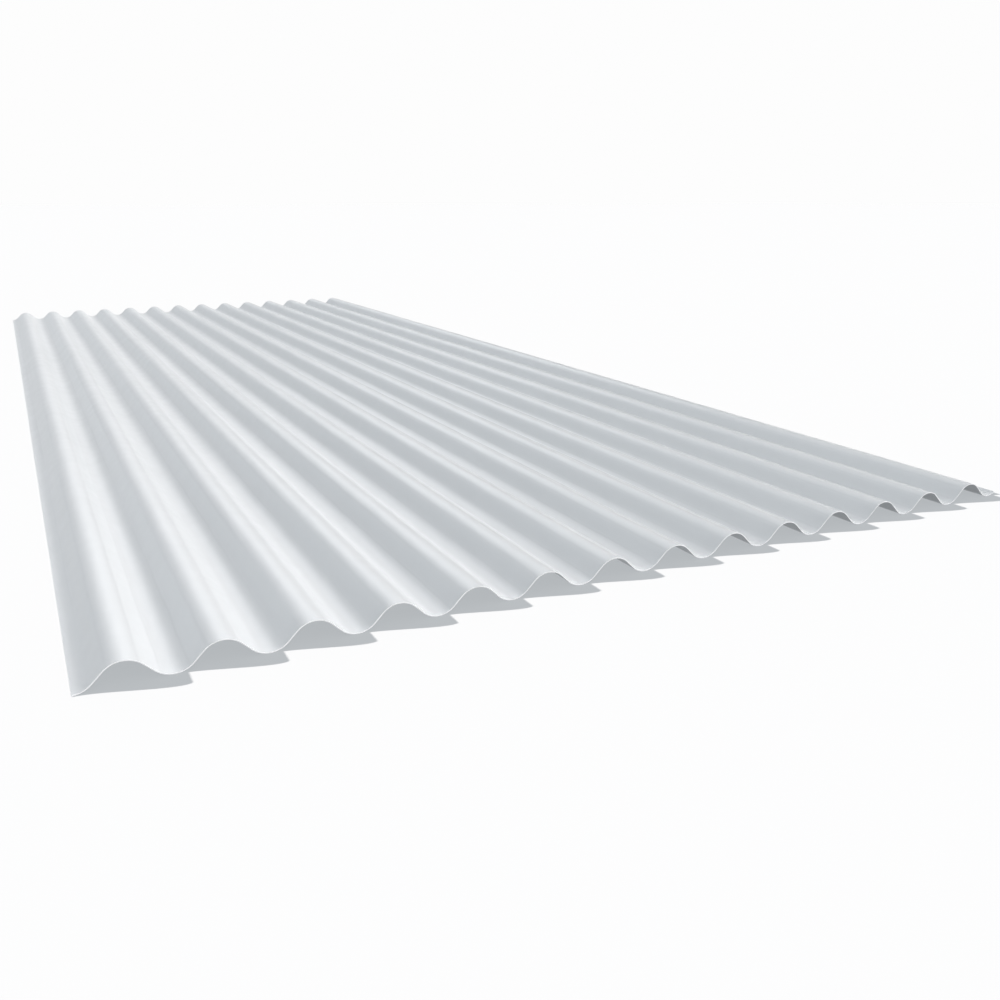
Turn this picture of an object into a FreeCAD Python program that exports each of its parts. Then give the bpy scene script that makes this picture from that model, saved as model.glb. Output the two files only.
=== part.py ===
"""Corrugated polypropylene roofing sheet: one sheet with round waves that run along its length.

Frame: +X across the waves, +Y along them, +Z up. The origin is the middle of the sheet, on the level
surface that its troughs lie on. Sizes are in millimetres, and the one angle is in degrees.

A wave is equal arcs at trough and crest, joined by straight flanks that are tangent to both. One wave is
padded to the length of the sheet and repeated across it, and the last one is trimmed down to a narrow lip.
"""
import FreeCAD, Part
import os

import Sketcher
from FreeCAD import Vector
from math import cos, pi, radians, sin, tan

SIZES = {
    "sheet_length": 2500.0,  # along the waves
    "wave_pitch": 76.0,  # from crest to crest
    "wave_depth": 20.5,  # from trough to crest, on one face
    "flank_angle": 45.0,  # of the straight flanks above the level
    "sheet_thickness": 1.0,
    "wave_count": 14,  # whole waves, counted from the edge that ends at the bottom of a trough
    "lip_width": 12.0,  # what the other edge has beyond the last whole wave
}
TRIM_MARGIN = 20.0  # how far the trimming cut reaches past the sheet on every side

SHEET_WIDTH = SIZES["wave_count"] * SIZES["wave_pitch"] + SIZES["lip_width"]
HALF_WIDTH_FORMULA = "(sizes.wave_count * sizes.wave_pitch + sizes.lip_width) / 2"

NODE = "corrugated_sheet"

# points of a sketched line or arc, as the sketcher numbers them, and its fixed geometry
START = 1
END = 2
CENTRE = 3
ORIGIN = -1
HORIZONTAL_AXIS = -1


def bend_radius():
    """Radius of the bends at the middle of the thickness.

    Half a wave is two arcs and a flank, so across the sheet
    pitch / 2 = depth / tan(angle) + 2 radius tan(angle / 2).
    """
    steep = radians(SIZES["flank_angle"])
    return (SIZES["wave_pitch"] / 2 - SIZES["wave_depth"] / tan(steep)) / (2 * tan(steep / 2))


def developed_wave():
    """Length of one wave's section when it is flattened: four equal arcs and two flanks."""
    steep = radians(SIZES["flank_angle"])
    radius = bend_radius()
    flank = (SIZES["wave_depth"] - 2 * radius * (1 - cos(steep))) / sin(steep)
    return 4 * radius * steep + 2 * flank


def make_sizes(doc):
    """The spreadsheet of driving sizes, each under its own name."""
    sizes = doc.addObject("Spreadsheet::Sheet", "sizes")
    for row, (name, value) in enumerate(SIZES.items(), start=1):
        sizes.set(f"A{row}", name)
        sizes.set(f"B{row}", str(value))
        sizes.setAlias(f"B{row}", name)
    doc.recompute()


def origin_feature(body, role):
    """One of the body's own base planes or axes."""
    return next(feature for feature in body.Origin.OriginFeatures if feature.Role == role)


def add_sketch(body, name):
    """A sketch across the waves: its own x is the sheet's X, and its own y is Z."""
    sketch = body.newObject("Sketcher::SketchObject", name)
    sketch.AttachmentSupport = (origin_feature(body, "XZ_Plane"), [""])
    sketch.MapMode = "FlatFace"
    return sketch


def constrain(sketch, kind, *places):
    """Adds a constraint that has no size."""
    sketch.addConstraint(Sketcher.Constraint(kind, *places))


def drive(sketch, kind, *places, value, formula, unit="mm"):
    """Adds a constraint that has a size, and binds the size to a formula in the spreadsheet's names."""
    index = sketch.addConstraint(Sketcher.Constraint(kind, *places, value))
    sketch.setExpression(f"Constraints[{index}]", f"({formula}) * 1 {unit}")


def add_face_curves(sketch, trough_radius, crest_radius):
    """One face of the first wave, from trough to trough: arc, flank, arc, flank, arc, tangent where they meet.

    Returns the numbers of the first trough, the rising flank, the crest and the last trough. The places
    drawn here only start the solver off; the constraints hold the sizes.
    """
    steep = radians(SIZES["flank_angle"])
    pitch = SIZES["wave_pitch"]
    left = -SHEET_WIDTH / 2
    trough_z = SIZES["sheet_thickness"] / 2 + bend_radius()
    crest_z = trough_z - 2 * bend_radius() + SIZES["wave_depth"]
    arcs = [
        (Vector(left, trough_z, 0), trough_radius, -pi / 2, -pi / 2 + steep),
        (Vector(left + pitch / 2, crest_z, 0), crest_radius, pi / 2 - steep, pi / 2 + steep),
        (Vector(left + pitch, trough_z, 0), trough_radius, -pi / 2 - steep, -pi / 2),
    ]
    bends = []
    for centre, radius, first, last in arcs:
        circle = Part.Circle(centre, Vector(0, 0, 1), radius)
        bends.append(sketch.addGeometry(Part.ArcOfCircle(circle, first, last), False))
    trough, crest, last_trough = bends

    flanks = []
    for bend, foot, head in [(trough, END, END), (last_trough, START, START)]:
        ends = (sketch.getPoint(bend, foot), sketch.getPoint(crest, head))
        flank = sketch.addGeometry(Part.LineSegment(*ends), False)
        constrain(sketch, "Tangent", bend, foot, flank, START)
        constrain(sketch, "Tangent", crest, head, flank, END)
        flanks.append(flank)
    return trough, flanks[0], crest, last_trough


def add_wave_sketch(body):
    """The closed outline of one whole wave, trough to trough, at the sheet's left edge."""
    sketch = add_sketch(body, "wave_outline")
    thickness = SIZES["sheet_thickness"]
    inner = bend_radius() - thickness / 2
    outer = bend_radius() + thickness / 2
    top_trough, top_flank, top_crest, top_last = add_face_curves(sketch, inner, outer)
    under_trough, _, under_crest, under_last = add_face_curves(sketch, outer, inner)

    for upper, lower in [(top_trough, under_trough), (top_crest, under_crest), (top_last, under_last)]:
        constrain(sketch, "Coincident", upper, CENTRE, lower, CENTRE)
    for upper, lower, point in [(top_trough, under_trough, START), (top_last, under_last, END)]:
        ends = (sketch.getPoint(upper, point), sketch.getPoint(lower, point))
        edge = sketch.addGeometry(Part.LineSegment(*ends), False)
        for bend, edge_point in [(upper, START), (lower, END)]:
            constrain(sketch, "Coincident", edge, edge_point, bend, point)
            constrain(sketch, "Vertical", bend, point, bend, CENTRE)
    for first, second in [(under_trough, top_crest), (under_trough, under_last)]:
        constrain(sketch, "Equal", first, second)
    for first, second in [(top_trough, under_crest), (top_trough, top_last)]:
        constrain(sketch, "Equal", first, second)
    constrain(sketch, "Horizontal", top_trough, CENTRE, top_last, CENTRE)
    constrain(sketch, "PointOnObject", under_trough, START, HORIZONTAL_AXIS)

    crest_point = sketch.getPoint(under_crest, CENTRE) + Vector(0, inner, 0)
    peak = sketch.addGeometry(Part.Point(crest_point), True)
    constrain(sketch, "PointOnObject", peak, START, under_crest)
    constrain(sketch, "Vertical", peak, START, under_crest, CENTRE)

    half_pitch = SIZES["wave_pitch"] / 2
    drive(sketch, "DistanceX", top_trough, CENTRE, top_crest, CENTRE,
          value=half_pitch, formula="sizes.wave_pitch / 2")
    drive(sketch, "DistanceX", top_crest, CENTRE, top_last, CENTRE,
          value=half_pitch, formula="sizes.wave_pitch / 2")
    drive(sketch, "DistanceY", under_trough, START, peak, START,
          value=SIZES["wave_depth"], formula="sizes.wave_depth")
    drive(sketch, "DistanceY", under_trough, START, top_trough, START,
          value=thickness, formula="sizes.sheet_thickness")
    drive(sketch, "Angle", top_flank,
          value=radians(SIZES["flank_angle"]), formula="sizes.flank_angle", unit="deg")
    drive(sketch, "DistanceX", under_trough, START, ORIGIN, START,
          value=SHEET_WIDTH / 2, formula=HALF_WIDTH_FORMULA)
    return sketch


def add_trim_sketch(body):
    """A rectangle over everything beyond the lip: what is left of the wave after the last whole one."""
    sketch = add_sketch(body, "lip_trim_outline")
    left = SHEET_WIDTH / 2
    wide = SIZES["wave_pitch"] + TRIM_MARGIN
    tall = SIZES["wave_depth"] + SIZES["sheet_thickness"] + 2 * TRIM_MARGIN
    corners = [
        Vector(left, -TRIM_MARGIN, 0),
        Vector(left + wide, -TRIM_MARGIN, 0),
        Vector(left + wide, tall - TRIM_MARGIN, 0),
        Vector(left, tall - TRIM_MARGIN, 0),
    ]
    sides = []
    for corner, following in zip(corners, corners[1:] + corners[:1]):
        sides.append(sketch.addGeometry(Part.LineSegment(corner, following), False))
    for side, following in zip(sides, sides[1:] + sides[:1]):
        constrain(sketch, "Coincident", side, END, following, START)
    bottom, right, ceiling, edge = sides
    for side in (bottom, ceiling):
        constrain(sketch, "Horizontal", side)
    for side in (right, edge):
        constrain(sketch, "Vertical", side)

    drive(sketch, "DistanceX", ORIGIN, START, bottom, START,
          value=left, formula=HALF_WIDTH_FORMULA)
    drive(sketch, "DistanceY", bottom, START, ORIGIN, START,
          value=TRIM_MARGIN, formula=f"{TRIM_MARGIN}")
    drive(sketch, "DistanceX", bottom, START, bottom, END,
          value=wide, formula=f"sizes.wave_pitch + {TRIM_MARGIN}")
    drive(sketch, "DistanceY", right, START, right, END,
          value=tall, formula=f"sizes.wave_depth + sizes.sheet_thickness + 2 * {TRIM_MARGIN}")
    return sketch


def make_sheet(doc):
    """The whole sheet: one wave padded along Y, repeated along X, then trimmed at the lip."""
    body = doc.addObject("PartDesign::Body", NODE)
    body.Label = NODE

    wave = body.newObject("PartDesign::Pad", "first_wave")
    wave.Profile = add_wave_sketch(body)
    wave.SideType = "Symmetric"
    wave.setExpression("Length", "sizes.sheet_length * 1 mm")
    body.Tip = wave
    doc.recompute()

    waves = body.newObject("PartDesign::LinearPattern", "waves")
    waves.Originals = [wave]
    waves.Direction = (origin_feature(body, "X_Axis"), [""])
    waves.Mode = "Spacing"
    waves.setExpression("Offset", "sizes.wave_pitch * 1 mm")
    waves.setExpression("Occurrences", "sizes.wave_count + 1")
    waves.Refine = True
    body.Tip = waves
    doc.recompute()

    trim = body.newObject("PartDesign::Pocket", "lip_trim")
    trim.Profile = add_trim_sketch(body)
    trim.SideType = "Symmetric"
    trim.setExpression("Length", f"(sizes.sheet_length + 2 * {TRIM_MARGIN}) * 1 mm")
    trim.Refine = True
    body.Tip = trim
    doc.recompute()
    return body


def check_document(doc):
    """Stops unless every object worked out, every sketch is fully held and every solid is whole."""
    for item in doc.Objects:
        if "Invalid" in item.State or "Error" in item.State:
            raise RuntimeError(f"{item.Label} didn't work out: {item.State}")
        if item.isDerivedFrom("Part::Feature") and (item.Shape.isNull() or not item.Shape.isValid()):
            raise RuntimeError(f"{item.Label} has no valid shape")
        if item.isDerivedFrom("Sketcher::SketchObject") and not item.FullyConstrained:
            raise RuntimeError(f"{item.Label} isn't fully constrained")


def check_sheet(shape):
    """Stops unless the sheet is one solid that fills the box its sizes ask for.

    The sheet is a strip of even thickness, so its volume is close to thickness x flattened width x length.
    """
    box = shape.BoundBox
    wanted = (SHEET_WIDTH, SIZES["sheet_length"], SIZES["wave_depth"] + SIZES["sheet_thickness"])
    for got, want in zip((box.XLength, box.YLength, box.ZLength), wanted):
        if abs(got - want) > 0.01:
            raise RuntimeError(f"the sheet measures {got:.3f} mm where its sizes give {want:.3f} mm")
    if len(shape.Solids) != 1:
        raise RuntimeError(f"the sheet has {len(shape.Solids)} solids")
    flattened = developed_wave() * SHEET_WIDTH / SIZES["wave_pitch"]
    expected = flattened * SIZES["sheet_thickness"] * SIZES["sheet_length"]
    if abs(shape.Volume / expected - 1) > 0.01:
        raise RuntimeError(f"the sheet's volume is {shape.Volume:.0f} mm3, not about {expected:.0f} mm3")


def main():
    """Builds the sheet, checks it and writes it."""
    doc = FreeCAD.newDocument("roofing_sheet")
    make_sizes(doc)
    sheet = make_sheet(doc)
    check_document(doc)
    check_sheet(sheet.Shape)
    os.makedirs("parts", exist_ok=True)
    sheet.Shape.exportStep(f"parts/{sheet.Label}.step")
    print(f"{sheet.Label}: {len(sheet.Shape.Faces)} faces, {sheet.Shape.Volume:.0f} mm3")


main()
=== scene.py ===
"""Looks of a corrugated polypropylene roofing sheet that lies on a pale studio floor.

Everything is in metres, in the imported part's own frame: +X across the waves, +Y along them, +Z up, with
the floor at the level that the troughs lie on. The sheet is one surface worked out on a grid, so that its
bends are smooth and its waves carry the slight unevenness of an extruded sheet.
"""
import logging
from dataclasses import dataclass
from enum import Enum
from math import asin, cos, radians, sin, tan
from typing import Any

import bpy
import numpy as np
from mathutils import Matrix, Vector


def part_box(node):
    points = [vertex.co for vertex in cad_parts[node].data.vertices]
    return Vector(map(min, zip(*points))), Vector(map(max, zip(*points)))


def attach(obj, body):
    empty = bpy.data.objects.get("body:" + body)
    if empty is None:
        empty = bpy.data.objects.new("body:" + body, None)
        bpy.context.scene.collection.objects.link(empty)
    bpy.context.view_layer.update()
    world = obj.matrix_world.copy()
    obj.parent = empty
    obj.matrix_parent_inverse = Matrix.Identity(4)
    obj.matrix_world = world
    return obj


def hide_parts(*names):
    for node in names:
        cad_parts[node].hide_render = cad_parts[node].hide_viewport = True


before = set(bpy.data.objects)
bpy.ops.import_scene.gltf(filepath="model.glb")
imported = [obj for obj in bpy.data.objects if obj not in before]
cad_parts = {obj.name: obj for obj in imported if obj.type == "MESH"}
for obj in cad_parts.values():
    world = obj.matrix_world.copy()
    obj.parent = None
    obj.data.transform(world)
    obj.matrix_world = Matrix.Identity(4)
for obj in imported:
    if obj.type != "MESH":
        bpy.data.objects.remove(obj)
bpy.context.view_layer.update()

SHEET_NODE = "corrugated_sheet"

log = logging.getLogger("roofing_sheet")

Number = float | int
Colour = tuple[float, float, float]


# ------------------------------------------------------------------ shader writing

class Value:
    """A number carried by a node's socket, so that shader maths reads as a Python expression."""

    def __init__(self, graph: "Graph", socket: bpy.types.NodeSocket) -> None:
        """Wraps a socket of a graph."""
        self.graph = graph
        self.socket = socket

    def _math(self, operation: str, *inputs: "Value | Number", clamp: bool = False) -> "Value":
        """Adds a Math node.

        Args:
            operation: the Math node's operation.
            inputs: its two or three inputs in order, as values or plain numbers.
            clamp: whether the result is held between 0 and 1.

        Returns:
            The node's result.
        """
        settings = {"operation": operation, "use_clamp": clamp}
        return self.graph.node("ShaderNodeMath", settings, dict(enumerate(inputs)))

    def __add__(self, other: "Value | Number") -> "Value":
        """self + other."""
        return self._math("ADD", self, other)

    __radd__ = __add__

    def __sub__(self, other: "Value | Number") -> "Value":
        """self - other."""
        return self._math("SUBTRACT", self, other)

    def __rsub__(self, other: Number) -> "Value":
        """other - self."""
        return self._math("SUBTRACT", other, self)

    def __mul__(self, other: "Value | Number") -> "Value":
        """self x other."""
        return self._math("MULTIPLY", self, other)

    __rmul__ = __mul__

    def __truediv__(self, other: "Value | Number") -> "Value":
        """self / other."""
        return self._math("DIVIDE", self, other)

    def exp(self) -> "Value":
        """e to the power of self."""
        return self._math("EXPONENT", self)

    def over(self, start: float, end: float) -> "Value":
        """0 up to start, 1 from end on, and a straight ramp between them."""
        return self._math("MULTIPLY", self - start, 1.0 / (end - start), clamp=True)


class Graph:
    """The node tree of a material or a world, filled from empty."""

    def __init__(self, owner: bpy.types.ID) -> None:
        """Empties the owner's node tree.

        Args:
            owner: a material or a world.
        """
        owner.use_nodes = True
        self.tree = owner.node_tree
        self.tree.nodes.clear()

    def node(self, kind: str, settings: dict[str, Any] | None = None,
             inputs: dict[str | int, Any] | None = None, output: str | int = 0) -> Value:
        """Adds a node, sets it up and fills its sockets.

        Args:
            kind: the node's type.
            settings: its properties, set before its sockets are touched.
            inputs: values or links by socket name or number.
            output: which output to hand back.

        Returns:
            The chosen output.
        """
        made = self.tree.nodes.new(kind)
        for name, setting in (settings or {}).items():
            setattr(made, name, setting)
        for name, given in (inputs or {}).items():
            if isinstance(given, Value):
                self.tree.links.new(given.socket, made.inputs[name])
            else:
                made.inputs[name].default_value = given
        outputs = made.outputs
        return Value(self, outputs[output] if len(outputs) else None)

    def coordinates(self, which: str = "Object") -> Value:
        """The texture coordinates of the surface, or the direction looked in for a world."""
        return self.node("ShaderNodeTexCoord", output=which)

    def axis(self, place: Value, name: str) -> Value:
        """One coordinate of a place, by its letter."""
        return self.node("ShaderNodeSeparateXYZ", inputs={0: place}, output=name)

    def stretched(self, place: Value, scale: tuple[float, float, float], turn: float = 0.0) -> Value:
        """A place measured with another scale along each axis, turned about Z first.

        Args:
            place: the coordinates.
            scale: how many pattern units go into a metre along each axis.
            turn: the turn in degrees.

        Returns:
            The new coordinates.
        """
        turned = self.node("ShaderNodeMapping", {"vector_type": "POINT"},
                           {"Vector": place, "Rotation": (0.0, 0.0, radians(turn))})
        return self.node("ShaderNodeVectorMath", {"operation": "MULTIPLY"}, {0: turned, 1: scale})

    def noise(self, place: Value, detail: float) -> Value:
        """Smooth noise about 0.5, one unit of the place to a lump."""
        inputs = {"Vector": place, "Scale": 1.0, "Detail": detail, "Roughness": 0.5}
        return self.node("ShaderNodeTexNoise", {"noise_dimensions": "3D"}, inputs)

    def mix(self, share: Value, first: Value, second: Value) -> Value:
        """A colour between two, the second one where the share is 1."""
        inputs = {0: share, 6: first, 7: second}
        return self.node("ShaderNodeMix", {"data_type": "RGBA"}, inputs, output=2)

    def scaled(self, colour: Colour, factor: Value) -> Value:
        """A colour made lighter or darker by a factor."""
        spread = self.node("ShaderNodeCombineXYZ", inputs={0: factor, 1: factor, 2: factor})
        return self.node("ShaderNodeVectorMath", {"operation": "MULTIPLY"}, {0: colour, 1: spread})


# ------------------------------------------------------------------ finishes

@dataclass(frozen=True)
class Polypropylene:
    """Through-coloured extruded polypropylene: a smooth half gloss with faint lines along the extrusion.

    Attributes:
        colour: the pigment's colour.
        cut_colour_and_highlight: colour of a sawn edge, lighter than the body: partly the whitening of the
            sawn face, partly a painted highlight for the thin bright line along the cut.
        roughness: of the calendered faces.
        cut_roughness: of a sawn edge.
        gloss_index: refractive index of the plastic.
        line_place: how far from the middle of a flank its witness lines run, in metres.
        line_width: how wide they are, in metres.
    """

    colour: Colour = (0.68, 0.705, 0.72)
    cut_colour_and_highlight: Colour = (0.86, 0.87, 0.88)
    roughness: float = 0.235
    cut_roughness: float = 0.6
    gloss_index: float = 1.49
    line_place: float = 0.0098
    line_width: float = 0.0014

    def material(self) -> bpy.types.Material:
        """Builds the node material.

        Base colour: the pigment, with soft clouds about 0.3 m across, streaks along Y, a fine grain and
        witness lines painted slightly darker as painted shade in the bends, going over to the lighter cut
        colour, which is partly a painted highlight, where the mesh's "cut" is 1.
        Roughness: raised a little in the streaks and in sparse scuffs, and more on the cut.
        Bump: lines along Y from the extrusion die, a slow ripple and fine grooves left by the forming rolls,
        and saw marks on the cut.
        """
        made = bpy.data.materials.new("polypropylene")
        graph = Graph(made)
        place = graph.coordinates()
        cut = graph.node("ShaderNodeAttribute", {"attribute_name": "cut"}, output="Fac")

        clouds = graph.noise(graph.stretched(place, (5.0, 2.6, 5.0)), detail=3.0)
        streaks = graph.noise(graph.stretched(place, (240.0, 1.2, 90.0)), detail=2.0)
        grain = graph.noise(graph.stretched(place, (2600.0, 2600.0, 2600.0)), detail=2.0)
        rolls = graph.noise(graph.stretched(place, (26.0, 13.0, 26.0)), detail=2.0)
        saw = graph.noise(graph.stretched(place, (2400.0, 400.0, 700.0)), detail=3.0)
        scuffs = self._scuffs(graph, place)
        witness_line_and_shade = self._witness_line_and_shade(graph, place)

        # Painted shade: the witness lines are painted 3 % darker here, beside their groove in the bump.
        shade = 0.970 + 0.04 * clouds + 0.008 * streaks + 0.012 * grain + 0.008 * scuffs - 0.03 * witness_line_and_shade
        body = graph.scaled(self.colour, shade)
        # Painted highlight: the cut edges are painted lighter than the body, partly for the whitened sawn
        # face and partly for the bright line along the cut.
        sawn_and_highlight = graph.scaled(self.cut_colour_and_highlight, 0.9 + 0.2 * saw)
        colour = graph.mix(cut, body, sawn_and_highlight)

        smooth = self.roughness - 0.03 + 0.015 * streaks + 0.045 * clouds + 0.012 * scuffs + 0.008 * witness_line_and_shade
        rough = smooth + (self.cut_roughness - smooth) * cut

        height = (0.000003 * streaks + 0.0011 * rolls + 0.0000006 * grain - 0.00006 * witness_line_and_shade
                  + 0.00006 * saw * cut)
        bump = graph.node("ShaderNodeBump", inputs={"Strength": 1.0, "Distance": 1.0, "Height": height})

        skin = graph.node("ShaderNodeBsdfPrincipled", inputs={
            "Base Color": colour, "Roughness": rough, "Normal": bump, "IOR": self.gloss_index})
        graph.node("ShaderNodeOutputMaterial", inputs={"Surface": skin})
        return made

    def _witness_line_and_shade(self, graph: Graph, place: Value) -> Value:
        """Fine lines along both sides of each flank, where the forming rolls let the sheet go. The mask is
        both their
        groove in the bump and painted shade: the material paints the lines darker.

        Args:
            graph: the material's graph.
            place: object coordinates.

        Returns:
            The mask exp(-((d - line_place) / line_width)^2), for the distance d from the flank's middle,
            which wanders a little along the sheet and fades in and out.
        """
        distance = graph.node("ShaderNodeAttribute", {"attribute_name": "from_flank"}, output="Fac")
        wander = graph.noise(graph.stretched(place, (14.0, 16.0, 14.0)), detail=2.0)
        fade = graph.noise(graph.stretched(place, (11.0, 3.0, 11.0)), detail=1.0)
        off = (distance - self.line_place + 0.004 * (wander - 0.5)) / self.line_width
        return (0.0 - off * off).exp() * fade.over(0.3, 0.6)

    def _scuffs(self, graph: Graph, place: Value) -> Value:
        """Sparse fine handling scuffs in two slanting directions: 1 on a scuff and 0 beside it.

        Args:
            graph: the material's graph.
            place: object coordinates.

        Returns:
            The mask. Each is a ridge of stretched noise, kept only where a slower noise is high.
        """
        found = None
        for turn, across in ((63.0, 900.0), (-38.0, 1300.0)):
            fine = graph.noise(graph.stretched(place, (across, 14.0, 60.0), turn), detail=1.0)
            patch = graph.noise(graph.stretched(place, (9.0, 9.0, 9.0), turn), detail=1.0)
            mark = fine.over(0.66, 0.72) * patch.over(0.56, 0.66)
            found = mark if found is None else found + mark
        return found


@dataclass(frozen=True)
class StudioFloor:
    """A pale floor like a light table: an even glow, which is what shows in a shadow, and a matte top.

    Attributes:
        glow: colour that it gives off by itself.
        colour: what it scatters of the light that falls on it.
        reach: half its side, in metres.
    """

    glow: Colour = (0.440, 0.462, 0.480)
    colour: Colour = (0.080, 0.080, 0.080)
    reach: float = 60.0

    def build(self) -> bpy.types.Object:
        """Makes the floor as one square at the level the sheet lies on, which throws no light back."""
        half = self.reach
        corners = [(-half, -half, 0.0), (half, -half, 0.0), (half, half, 0.0), (-half, half, 0.0)]
        mesh = bpy.data.meshes.new("studio_floor")
        mesh.from_pydata(corners, [], [(0, 1, 2, 3)])
        mesh.materials.append(self._material())
        floor = bpy.data.objects.new("studio_floor", mesh)
        floor.visible_diffuse = False
        floor.visible_shadow = False
        bpy.context.scene.collection.objects.link(floor)
        return floor

    def _material(self) -> bpy.types.Material:
        """Matte scattering and the glow, added together."""
        made = bpy.data.materials.new("studio_floor")
        graph = Graph(made)
        matte = graph.node("ShaderNodeBsdfDiffuse", inputs={"Color": (*self.colour, 1.0)})
        glow = graph.node("ShaderNodeEmission", inputs={"Color": (*self.glow, 1.0), "Strength": 1.0})
        both = graph.node("ShaderNodeAddShader", inputs={0: matte, 1: glow})
        graph.node("ShaderNodeOutputMaterial", inputs={"Surface": both})
        return made


# ------------------------------------------------------------------ the sheet

class Face(Enum):
    """The two faces of the sheet, as the side of the middle of its thickness that each lies on."""

    UPPER = 1
    LOWER = -1


@dataclass
class WaveSection:
    """The section across the waves, at the middle of the thickness: equal arcs joined by straight flanks.

    Attributes:
        width: from edge to edge of the sheet.
        depth: from trough to crest.
        thickness: of the sheet.
        lip: what lies beyond the last whole wave.
        waves: how many whole waves there are.
        flank_angle: of the straight flanks above the level, in degrees.
        bend_steps: grid steps in half a bend.
        flank_steps: grid steps in a flank.
    """

    width: float
    depth: float
    thickness: float
    lip: float = 0.012
    waves: int = 14
    flank_angle: float = 45.0
    bend_steps: int = 7
    flank_steps: int = 3

    @property
    def pitch(self) -> float:
        """From crest to crest."""
        return (self.width - self.lip) / self.waves

    @property
    def steepness(self) -> float:
        """The flank angle in radians."""
        return radians(self.flank_angle)

    @property
    def radius(self) -> float:
        """Bend radius, from pitch / 2 = depth / tan(angle) + 2 radius tan(angle / 2)."""
        return (self.pitch / 2 - self.depth / tan(self.steepness)) / (2 * tan(self.steepness / 2))

    @property
    def flank(self) -> float:
        """Length of a flank, from depth = 2 radius (1 - cos(angle)) + flank sin(angle)."""
        return (self.depth - 2 * self.radius * (1 - cos(self.steepness))) / sin(self.steepness)

    @property
    def half_run(self) -> float:
        """Length along the section from a trough to a crest."""
        return 2 * self.radius * self.steepness + self.flank

    def stations(self) -> np.ndarray:
        """Places along the section, from the left edge to the right one.

        From a trough the slope goes 0 to a over half a bend, holds over the flank and goes back to 0 at the
        crest. The way down mirrors the way up. The lip is the start of one more way up.

        Returns:
            Rows of x, z, slope in radians, and the length run along the section.
        """
        up = self._way_up()
        down = up[-2:0:-1] * (-1.0, 1.0, -1.0, -1.0) + (self.pitch, 0.0, 0.0, 2 * self.half_run)
        wave = np.concatenate([up, down])
        step = np.array([self.pitch, 0.0, 0.0, 2 * self.half_run])
        whole = wave[None] + np.arange(self.waves)[:, None, None] * step
        end = asin(self.lip / (self.radius + self.thickness / 2))
        lip = self._bend(np.linspace(0.0, end, self.bend_steps)) + self.waves * step
        return np.concatenate([whole.reshape(-1, 4), lip])

    def _bend(self, slope: np.ndarray) -> np.ndarray:
        """Rows of a bend that leaves a trough: x = r sin(slope), z = r (1 - cos(slope)), run = r slope."""
        radius = self.radius
        return np.stack([radius * np.sin(slope), radius * (1 - np.cos(slope)), slope, radius * slope], axis=1)

    def _way_up(self) -> np.ndarray:
        """Rows from a trough to the crest after it: the foot's bend, the flank, and the foot turned round."""
        foot = self._bend(self.steepness * np.linspace(0.0, 1.0, self.bend_steps + 1))
        share = np.linspace(0.0, 1.0, self.flank_steps + 1)[1:-1, None]
        step = np.array([self.flank * cos(self.steepness), self.flank * sin(self.steepness), 0.0, self.flank])
        head = foot[::-1] * (-1.0, -1.0, 1.0, -1.0) + (self.pitch / 2, self.depth, 0.0, self.half_run)
        return np.concatenate([foot, foot[-1] + share * step, head])


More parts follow.
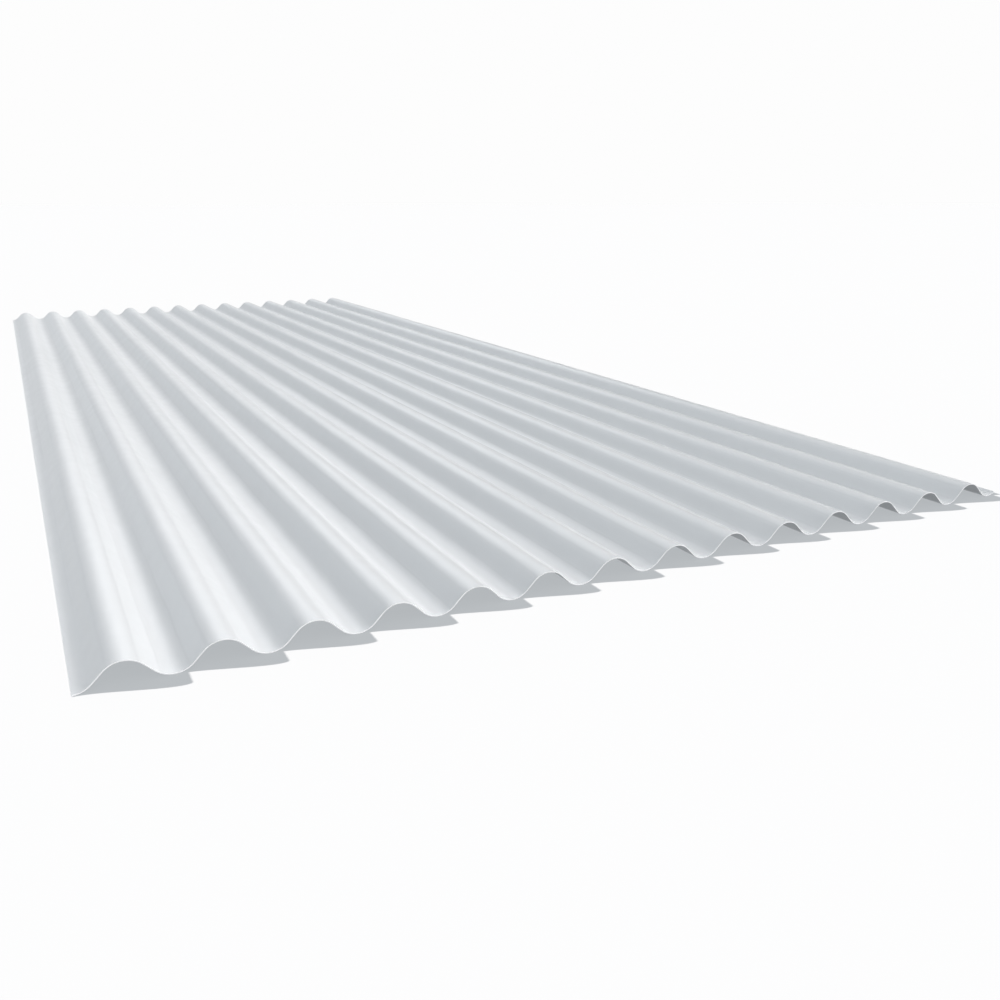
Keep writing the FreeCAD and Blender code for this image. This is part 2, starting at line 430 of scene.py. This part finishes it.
@dataclass
class RoofingSheet:
    """The sheet as one closed mesh: two faces on a grid and a rim with a fine chamfer round all four sides.

    Attributes:
        low: the lowest corner of the box that it fills.
        high: the highest corner.
        finish: what it is made of.
        thickness: of the sheet.
        rows: grid rows along the waves.
        chamfer: how far the cut edges are broken.
        sag: how much lower the lowest crest is than the highest one.
        stray: how far a wave strays sideways.
        true_edge: how far in from the side edges the straying reaches its full size.
        crowding: how much closer the rows stand towards the ends.
        crease: angle between faces from which their edge is sharp, in degrees.
    """

    low: np.ndarray
    high: np.ndarray
    finish: Polypropylene
    thickness: float = 0.001
    rows: int = 96
    chamfer: float = 0.00012
    sag: float = 0.00035
    stray: float = 0.0004
    true_edge: float = 0.06
    crowding: float = 0.25
    crease: float = 32.0

    def build(self) -> bpy.types.Object:
        """Makes the mesh, its finish and its place in the frame.

        Returns:
            The finished object.
        """
        size = self.high - self.low
        section = WaveSection(size[0], size[2] - self.thickness, self.thickness)
        points, faces, cut, from_flank = self._surface(section)
        mesh = bpy.data.meshes.new("roofing_sheet")
        mesh.from_pydata(points, [], faces.tolist())
        mesh.polygons.foreach_set("use_smooth", np.ones(len(faces), dtype=bool))
        mesh.set_sharp_from_angle(angle=radians(self.crease))
        for name, values in (("cut", cut), ("from_flank", from_flank)):
            mesh.attributes.new(name, "FLOAT", "POINT").data.foreach_set("value", values)
        mesh.materials.append(self.finish.material())
        mesh.validate()
        mesh.update()
        piece = bpy.data.objects.new("roofing_sheet", mesh)
        bpy.context.scene.collection.objects.link(piece)
        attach(piece, "root")
        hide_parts(SHEET_NODE)
        return piece

    def _surface(self, section: WaveSection) -> tuple[np.ndarray, np.ndarray, np.ndarray, np.ndarray]:
        """Works out the closed mesh.

        Each face is a grid that stops a chamfer short of the edges. Two rings run round the edges
        themselves, and strips of faces join grid, ring, ring and grid.

        Args:
            section: the section across the waves.

        Returns:
            The points; the faces as point numbers; 1 for each point on a cut edge and 0 for others; and how
            far each point is from the middle of its flank, along the section.
        """
        stations = section.stations()
        upper, lower = (self._layer(stations, face, self.chamfer) for face in Face)
        outer_upper, outer_lower = (self._layer(stations, face, 0.0) for face in Face)
        count = len(upper)
        numbers = np.arange(count).reshape(-1, len(stations))
        ring = np.concatenate([numbers[0, :-1], numbers[:-1, -1], numbers[-1, :0:-1], numbers[:0:-1, 0]])
        points = np.concatenate([upper, lower, outer_upper[ring], outer_lower[ring]])

        corners = (numbers[:-1, :-1], numbers[:-1, 1:], numbers[1:, 1:], numbers[1:, :-1])
        quads = np.stack(corners, axis=-1).reshape(-1, 4)
        ring_upper = 2 * count + np.arange(len(ring))
        ring_lower = ring_upper + len(ring)
        strips = ((ring_upper, ring), (ring_lower, ring_upper), (ring + count, ring_lower))
        sides = [np.stack([a, np.roll(a, -1), np.roll(b, -1), b], axis=1) for a, b in strips]
        faces = np.concatenate([quads, quads[:, ::-1] + count, *sides])

        cut = np.concatenate([np.zeros(2 * count), np.ones(2 * len(ring))])
        distance = np.abs(stations[:, 3] % section.half_run - section.half_run / 2)
        distance = np.broadcast_to(distance, numbers.shape).ravel()
        return points, faces, cut, np.concatenate([distance, distance, distance[ring], distance[ring]])

    def _layer(self, stations: np.ndarray, face: Face, inset: float) -> np.ndarray:
        """Points of one face, or of the ring level with it, as a whole grid.

        x = left + sx - d sin(slope) and z = bottom + sz + d cos(slope), for the section's (sx, sz, slope)
        and the offset d from the middle of the thickness. Then z loses sag x u(x, y) x (height's share of
        the depth), and x gains stray x (u'(x, y) - 1/2), fading out at the side edges; u and u' are slow
        unevennesses between 0 and 1.

        Args:
            stations: the section's rows.
            face: which face.
            inset: how far the outermost rows and columns stay from the edges; the offset is less by what
                is missing to a chamfer.

        Returns:
            One point a line, row by row.
        """
        offset = face.value * (self.thickness / 2 - self.chamfer + inset)
        slope = stations[:, 2]
        across = self.low[0] + stations[:, 0] - offset * np.sin(slope)
        height = self.thickness / 2 + stations[:, 1] + offset * np.cos(slope)
        across[0] += inset
        across[-1] -= inset * cos(slope[-1])
        height[-1] -= inset * sin(slope[-1])
        even = np.linspace(-1.0, 1.0, self.rows + 1)
        eased = (1 - self.crowding) * even + self.crowding * np.sin(even * np.pi / 2)
        along = (self.low[1] + self.high[1]) / 2 + eased * (self.high[1] - self.low[1]) / 2
        along[0] += inset
        along[-1] -= inset

        x, y = np.meshgrid(across, along)
        depth = self.high[2] - self.low[2] - self.thickness
        share = np.clip((height - self.thickness) / depth, 0.0, 1.0)
        z = self.low[2] + height - share * self.sag * self._unevenness(x, y, 0.0)
        fade = np.clip(np.minimum(x - self.low[0], self.high[0] - x) / self.true_edge, 0.0, 1.0)
        x = x + fade * self.stray * (self._unevenness(x, y, 2.0) - 0.5)
        return np.stack([x, y, z], axis=-1).reshape(-1, 3)

    @staticmethod
    def _unevenness(x: np.ndarray, y: np.ndarray, phase: float) -> np.ndarray:
        """A slow unevenness between 0 and 1, as a sum of sines.

        Args:
            x: places across the waves.
            y: places along them.
            phase: which of the unevennesses.

        Returns:
            1/2 + the mean of sin(pi (a y + b x) + start + phase) / 2 over four pairs of a and b, which are
            in half turns per metre.
        """
        ripples = ((2.9, 3.1, 0.0), (6.7, -7.3, 1.3), (12.1, 11.9, 4.1), (4.3, 23.0, 2.2))
        total = sum(np.sin(along * y * np.pi + across * x * np.pi + start + phase)
                    for along, across, start in ripples)
        return 0.5 + total / (2 * len(ripples))


# ------------------------------------------------------------------ the studio

@dataclass(frozen=True)
class StudioSurround:
    """A dim surround with a pale band low all round it, which a dark flag breaks behind on the right.

    Attributes:
        tint: colour of its light.
        backdrop: white that the camera sees behind the floor.
        upper: light from overhead.
        band: light that the band adds.
        band_reach: sine of the elevation that the band reaches.
        flag: direction to the flag's middle, as azimuth to the right of +Y and elevation, in degrees.
        flag_spread: how far the flag reaches, in degrees.
        panel: direction to the middle of a brighter panel, as for the flag.
        panel_spread: how far the panel reaches, in degrees.
        panel_light: what the panel adds.
        front: direction to the middle of the wide soft light in front, as for the flag.
        front_spread: how far it reaches, in degrees.
        front_light: what it adds.
        below: light from below, in the hollows under the waves.
    """

    tint: tuple[float, float, float] = (0.975, 1.0, 1.03)
    backdrop: float = 0.982
    upper: float = 0.285
    band: float = 0.72
    band_reach: float = 0.28
    flag: tuple[float, float] = (40.0, 6.0)
    flag_spread: float = 38.0
    panel: tuple[float, float] = (12.0, 29.0)
    panel_spread: float = 14.0
    panel_light: float = 1.45
    front: tuple[float, float] = (180.0, 40.0)
    front_spread: float = 60.0
    front_light: float = 0.88
    below: float = 0.24

    def build(self) -> bpy.types.World:
        """Makes the world.

        Above the level its light is (upper + band exp(-(z / reach)^2)) (1 - flag) + panel_light panel +
        front_light front, for the height z of a direction.
        """
        world = bpy.data.worlds.new("studio_surround")
        graph = Graph(world)
        look = graph.coordinates("Generated")
        height = graph.axis(look, "Z")
        flag = self._patch(graph, look, self.flag, self.flag_spread)
        panel = self._patch(graph, look, self.panel, self.panel_spread)
        front = self._patch(graph, look, self.front, self.front_spread)
        band = (0.0 - height * height / self.band_reach ** 2).exp()
        above = ((self.upper + self.band * band) * (1.0 - flag) + self.panel_light * panel
                 + self.front_light * front)
        given = self.below + (above - self.below) * height.over(-0.01, 0.01)
        light = graph.node("ShaderNodeBackground", inputs={"Color": (*self.tint, 1.0), "Strength": given})
        seen = graph.node("ShaderNodeBackground", inputs={
            "Color": (1.0, 1.0, 1.0, 1.0), "Strength": self.backdrop})
        camera = graph.node("ShaderNodeLightPath", output="Is Camera Ray")
        both = graph.node("ShaderNodeMixShader", inputs={0: camera, 1: light, 2: seen})
        graph.node("ShaderNodeOutputWorld", inputs={"Surface": both})
        bpy.context.scene.world = world
        return world

    @staticmethod
    def _patch(graph: Graph, look: Value, middle: tuple[float, float], spread: float) -> Value:
        """A round soft patch of the surround.

        Args:
            graph: the world's graph.
            look: the direction looked in.
            middle: of the patch, as azimuth to the right of +Y and elevation, in degrees.
            spread: how far it reaches, in degrees.

        Returns:
            The share exp((c - 1) / (1 - cos spread)), for the cosine c to the middle.
        """
        turn, rise = (radians(angle) for angle in middle)
        toward = (sin(turn) * cos(rise), cos(turn) * cos(rise), sin(rise))
        cosine = graph.node("ShaderNodeVectorMath", {"operation": "DOT_PRODUCT"}, {0: look, 1: toward},
                            output="Value")
        return ((cosine - 1.0) / (1.0 - cos(radians(spread)))).exp()


@dataclass(frozen=True)
class StudioLamp:
    """A far lamp that lights one thing alone.

    Attributes:
        name: of the lamp.
        toward: direction from the sheet to the lamp.
        strength: in watts per square metre.
        size: angle that the lamp fills, in degrees.
        fill: whether it only fills, with no highlight and no shadow.
        colour: of its light.
    """

    name: str
    toward: tuple[float, float, float]
    strength: float
    size: float
    fill: bool = False
    colour: Colour = (1.0, 1.0, 1.0)

    def build(self, lit: bpy.types.Object) -> bpy.types.Object:
        """Makes the lamp and links it to the one thing.

        Args:
            lit: what it lights. Anything may still cast a shadow on it.

        Returns:
            The lamp's object.
        """
        lamp = bpy.data.lights.new(self.name, "SUN")
        lamp.color = self.colour
        lamp.energy = self.strength
        lamp.angle = radians(self.size)
        light = bpy.data.objects.new(self.name, lamp)
        light.rotation_euler = Vector(self.toward).to_track_quat("Z", "Y").to_euler()
        bpy.context.scene.collection.objects.link(light)
        receivers = bpy.data.collections.new(self.name + "_receivers")
        receivers.objects.link(lit)
        light.light_linking.receiver_collection = receivers
        light.visible_glossy = not self.fill
        lamp.use_shadow = not self.fill
        return light


@dataclass(frozen=True)
class Viewpoint:
    """The camera, just above the near left corner, looking to the right along the waves.

    Attributes:
        beside: to the right of the sheet's left edge.
        before: in front of its near end.
        above: over the floor.
        turn: to the right of +Y, in degrees.
        dip: below the level, in degrees.
        lens: focal length in millimetres, on a sensor 36 mm wide.
        shift: of the lens, as shares of the picture's width.
    """

    beside: float = 0.0014
    before: float = 0.6764
    above: float = 0.3562
    turn: float = 27.164
    dip: float = 18.025
    lens: float = 32.62
    shift: tuple[float, float] = (0.0168, -0.0060)

    def build(self, low: np.ndarray) -> bpy.types.Object:
        """Makes the scene's camera.

        Args:
            low: the lowest corner of the sheet's box.

        Returns:
            The camera's object.
        """
        data = bpy.data.cameras.new("viewpoint")
        data.sensor_width = 36.0
        data.lens = self.lens
        data.shift_x, data.shift_y = self.shift
        data.clip_start, data.clip_end = 0.01, 200.0
        camera = bpy.data.objects.new("viewpoint", data)
        camera.location = (low[0] + self.beside, low[1] - self.before, low[2] + self.above)
        camera.rotation_euler = (radians(90.0 - self.dip), 0.0, radians(-self.turn))
        bpy.context.scene.collection.objects.link(camera)
        bpy.context.scene.camera = camera
        return camera


def main() -> None:
    """Builds the sheet and the studio round it, and reports each."""
    logging.basicConfig(level=logging.INFO, format="%(name)s: %(message)s")
    scene = bpy.context.scene
    scene.view_settings.view_transform = "Standard"
    low, high = (np.array(corner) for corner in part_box(SHEET_NODE))

    sheet = RoofingSheet(low, high, finish=Polypropylene()).build()
    log.info("%s: %d faces", sheet.name, len(sheet.data.polygons))
    floor = StudioFloor().build()
    log.info("%s: made", floor.name)
    StudioSurround().build()
    side_lamp = StudioLamp("side_lamp", toward=(0.77, -0.38, 0.50), strength=2.8, size=50.0,
                           fill=True, colour=(1.0, 0.945, 0.915)).build(sheet)
    floor_lamp = StudioLamp("floor_lamp", toward=(-2.0, 1.0, 1.0), strength=46.8, size=1.2,
                            colour=(1.0, 0.953, 0.921)).build(floor)
    log.info("%s, %s: made", side_lamp.name, floor_lamp.name)
    camera = Viewpoint().build(low)
    log.info("%s: made", camera.name)


if __name__ == "__main__":
    main()
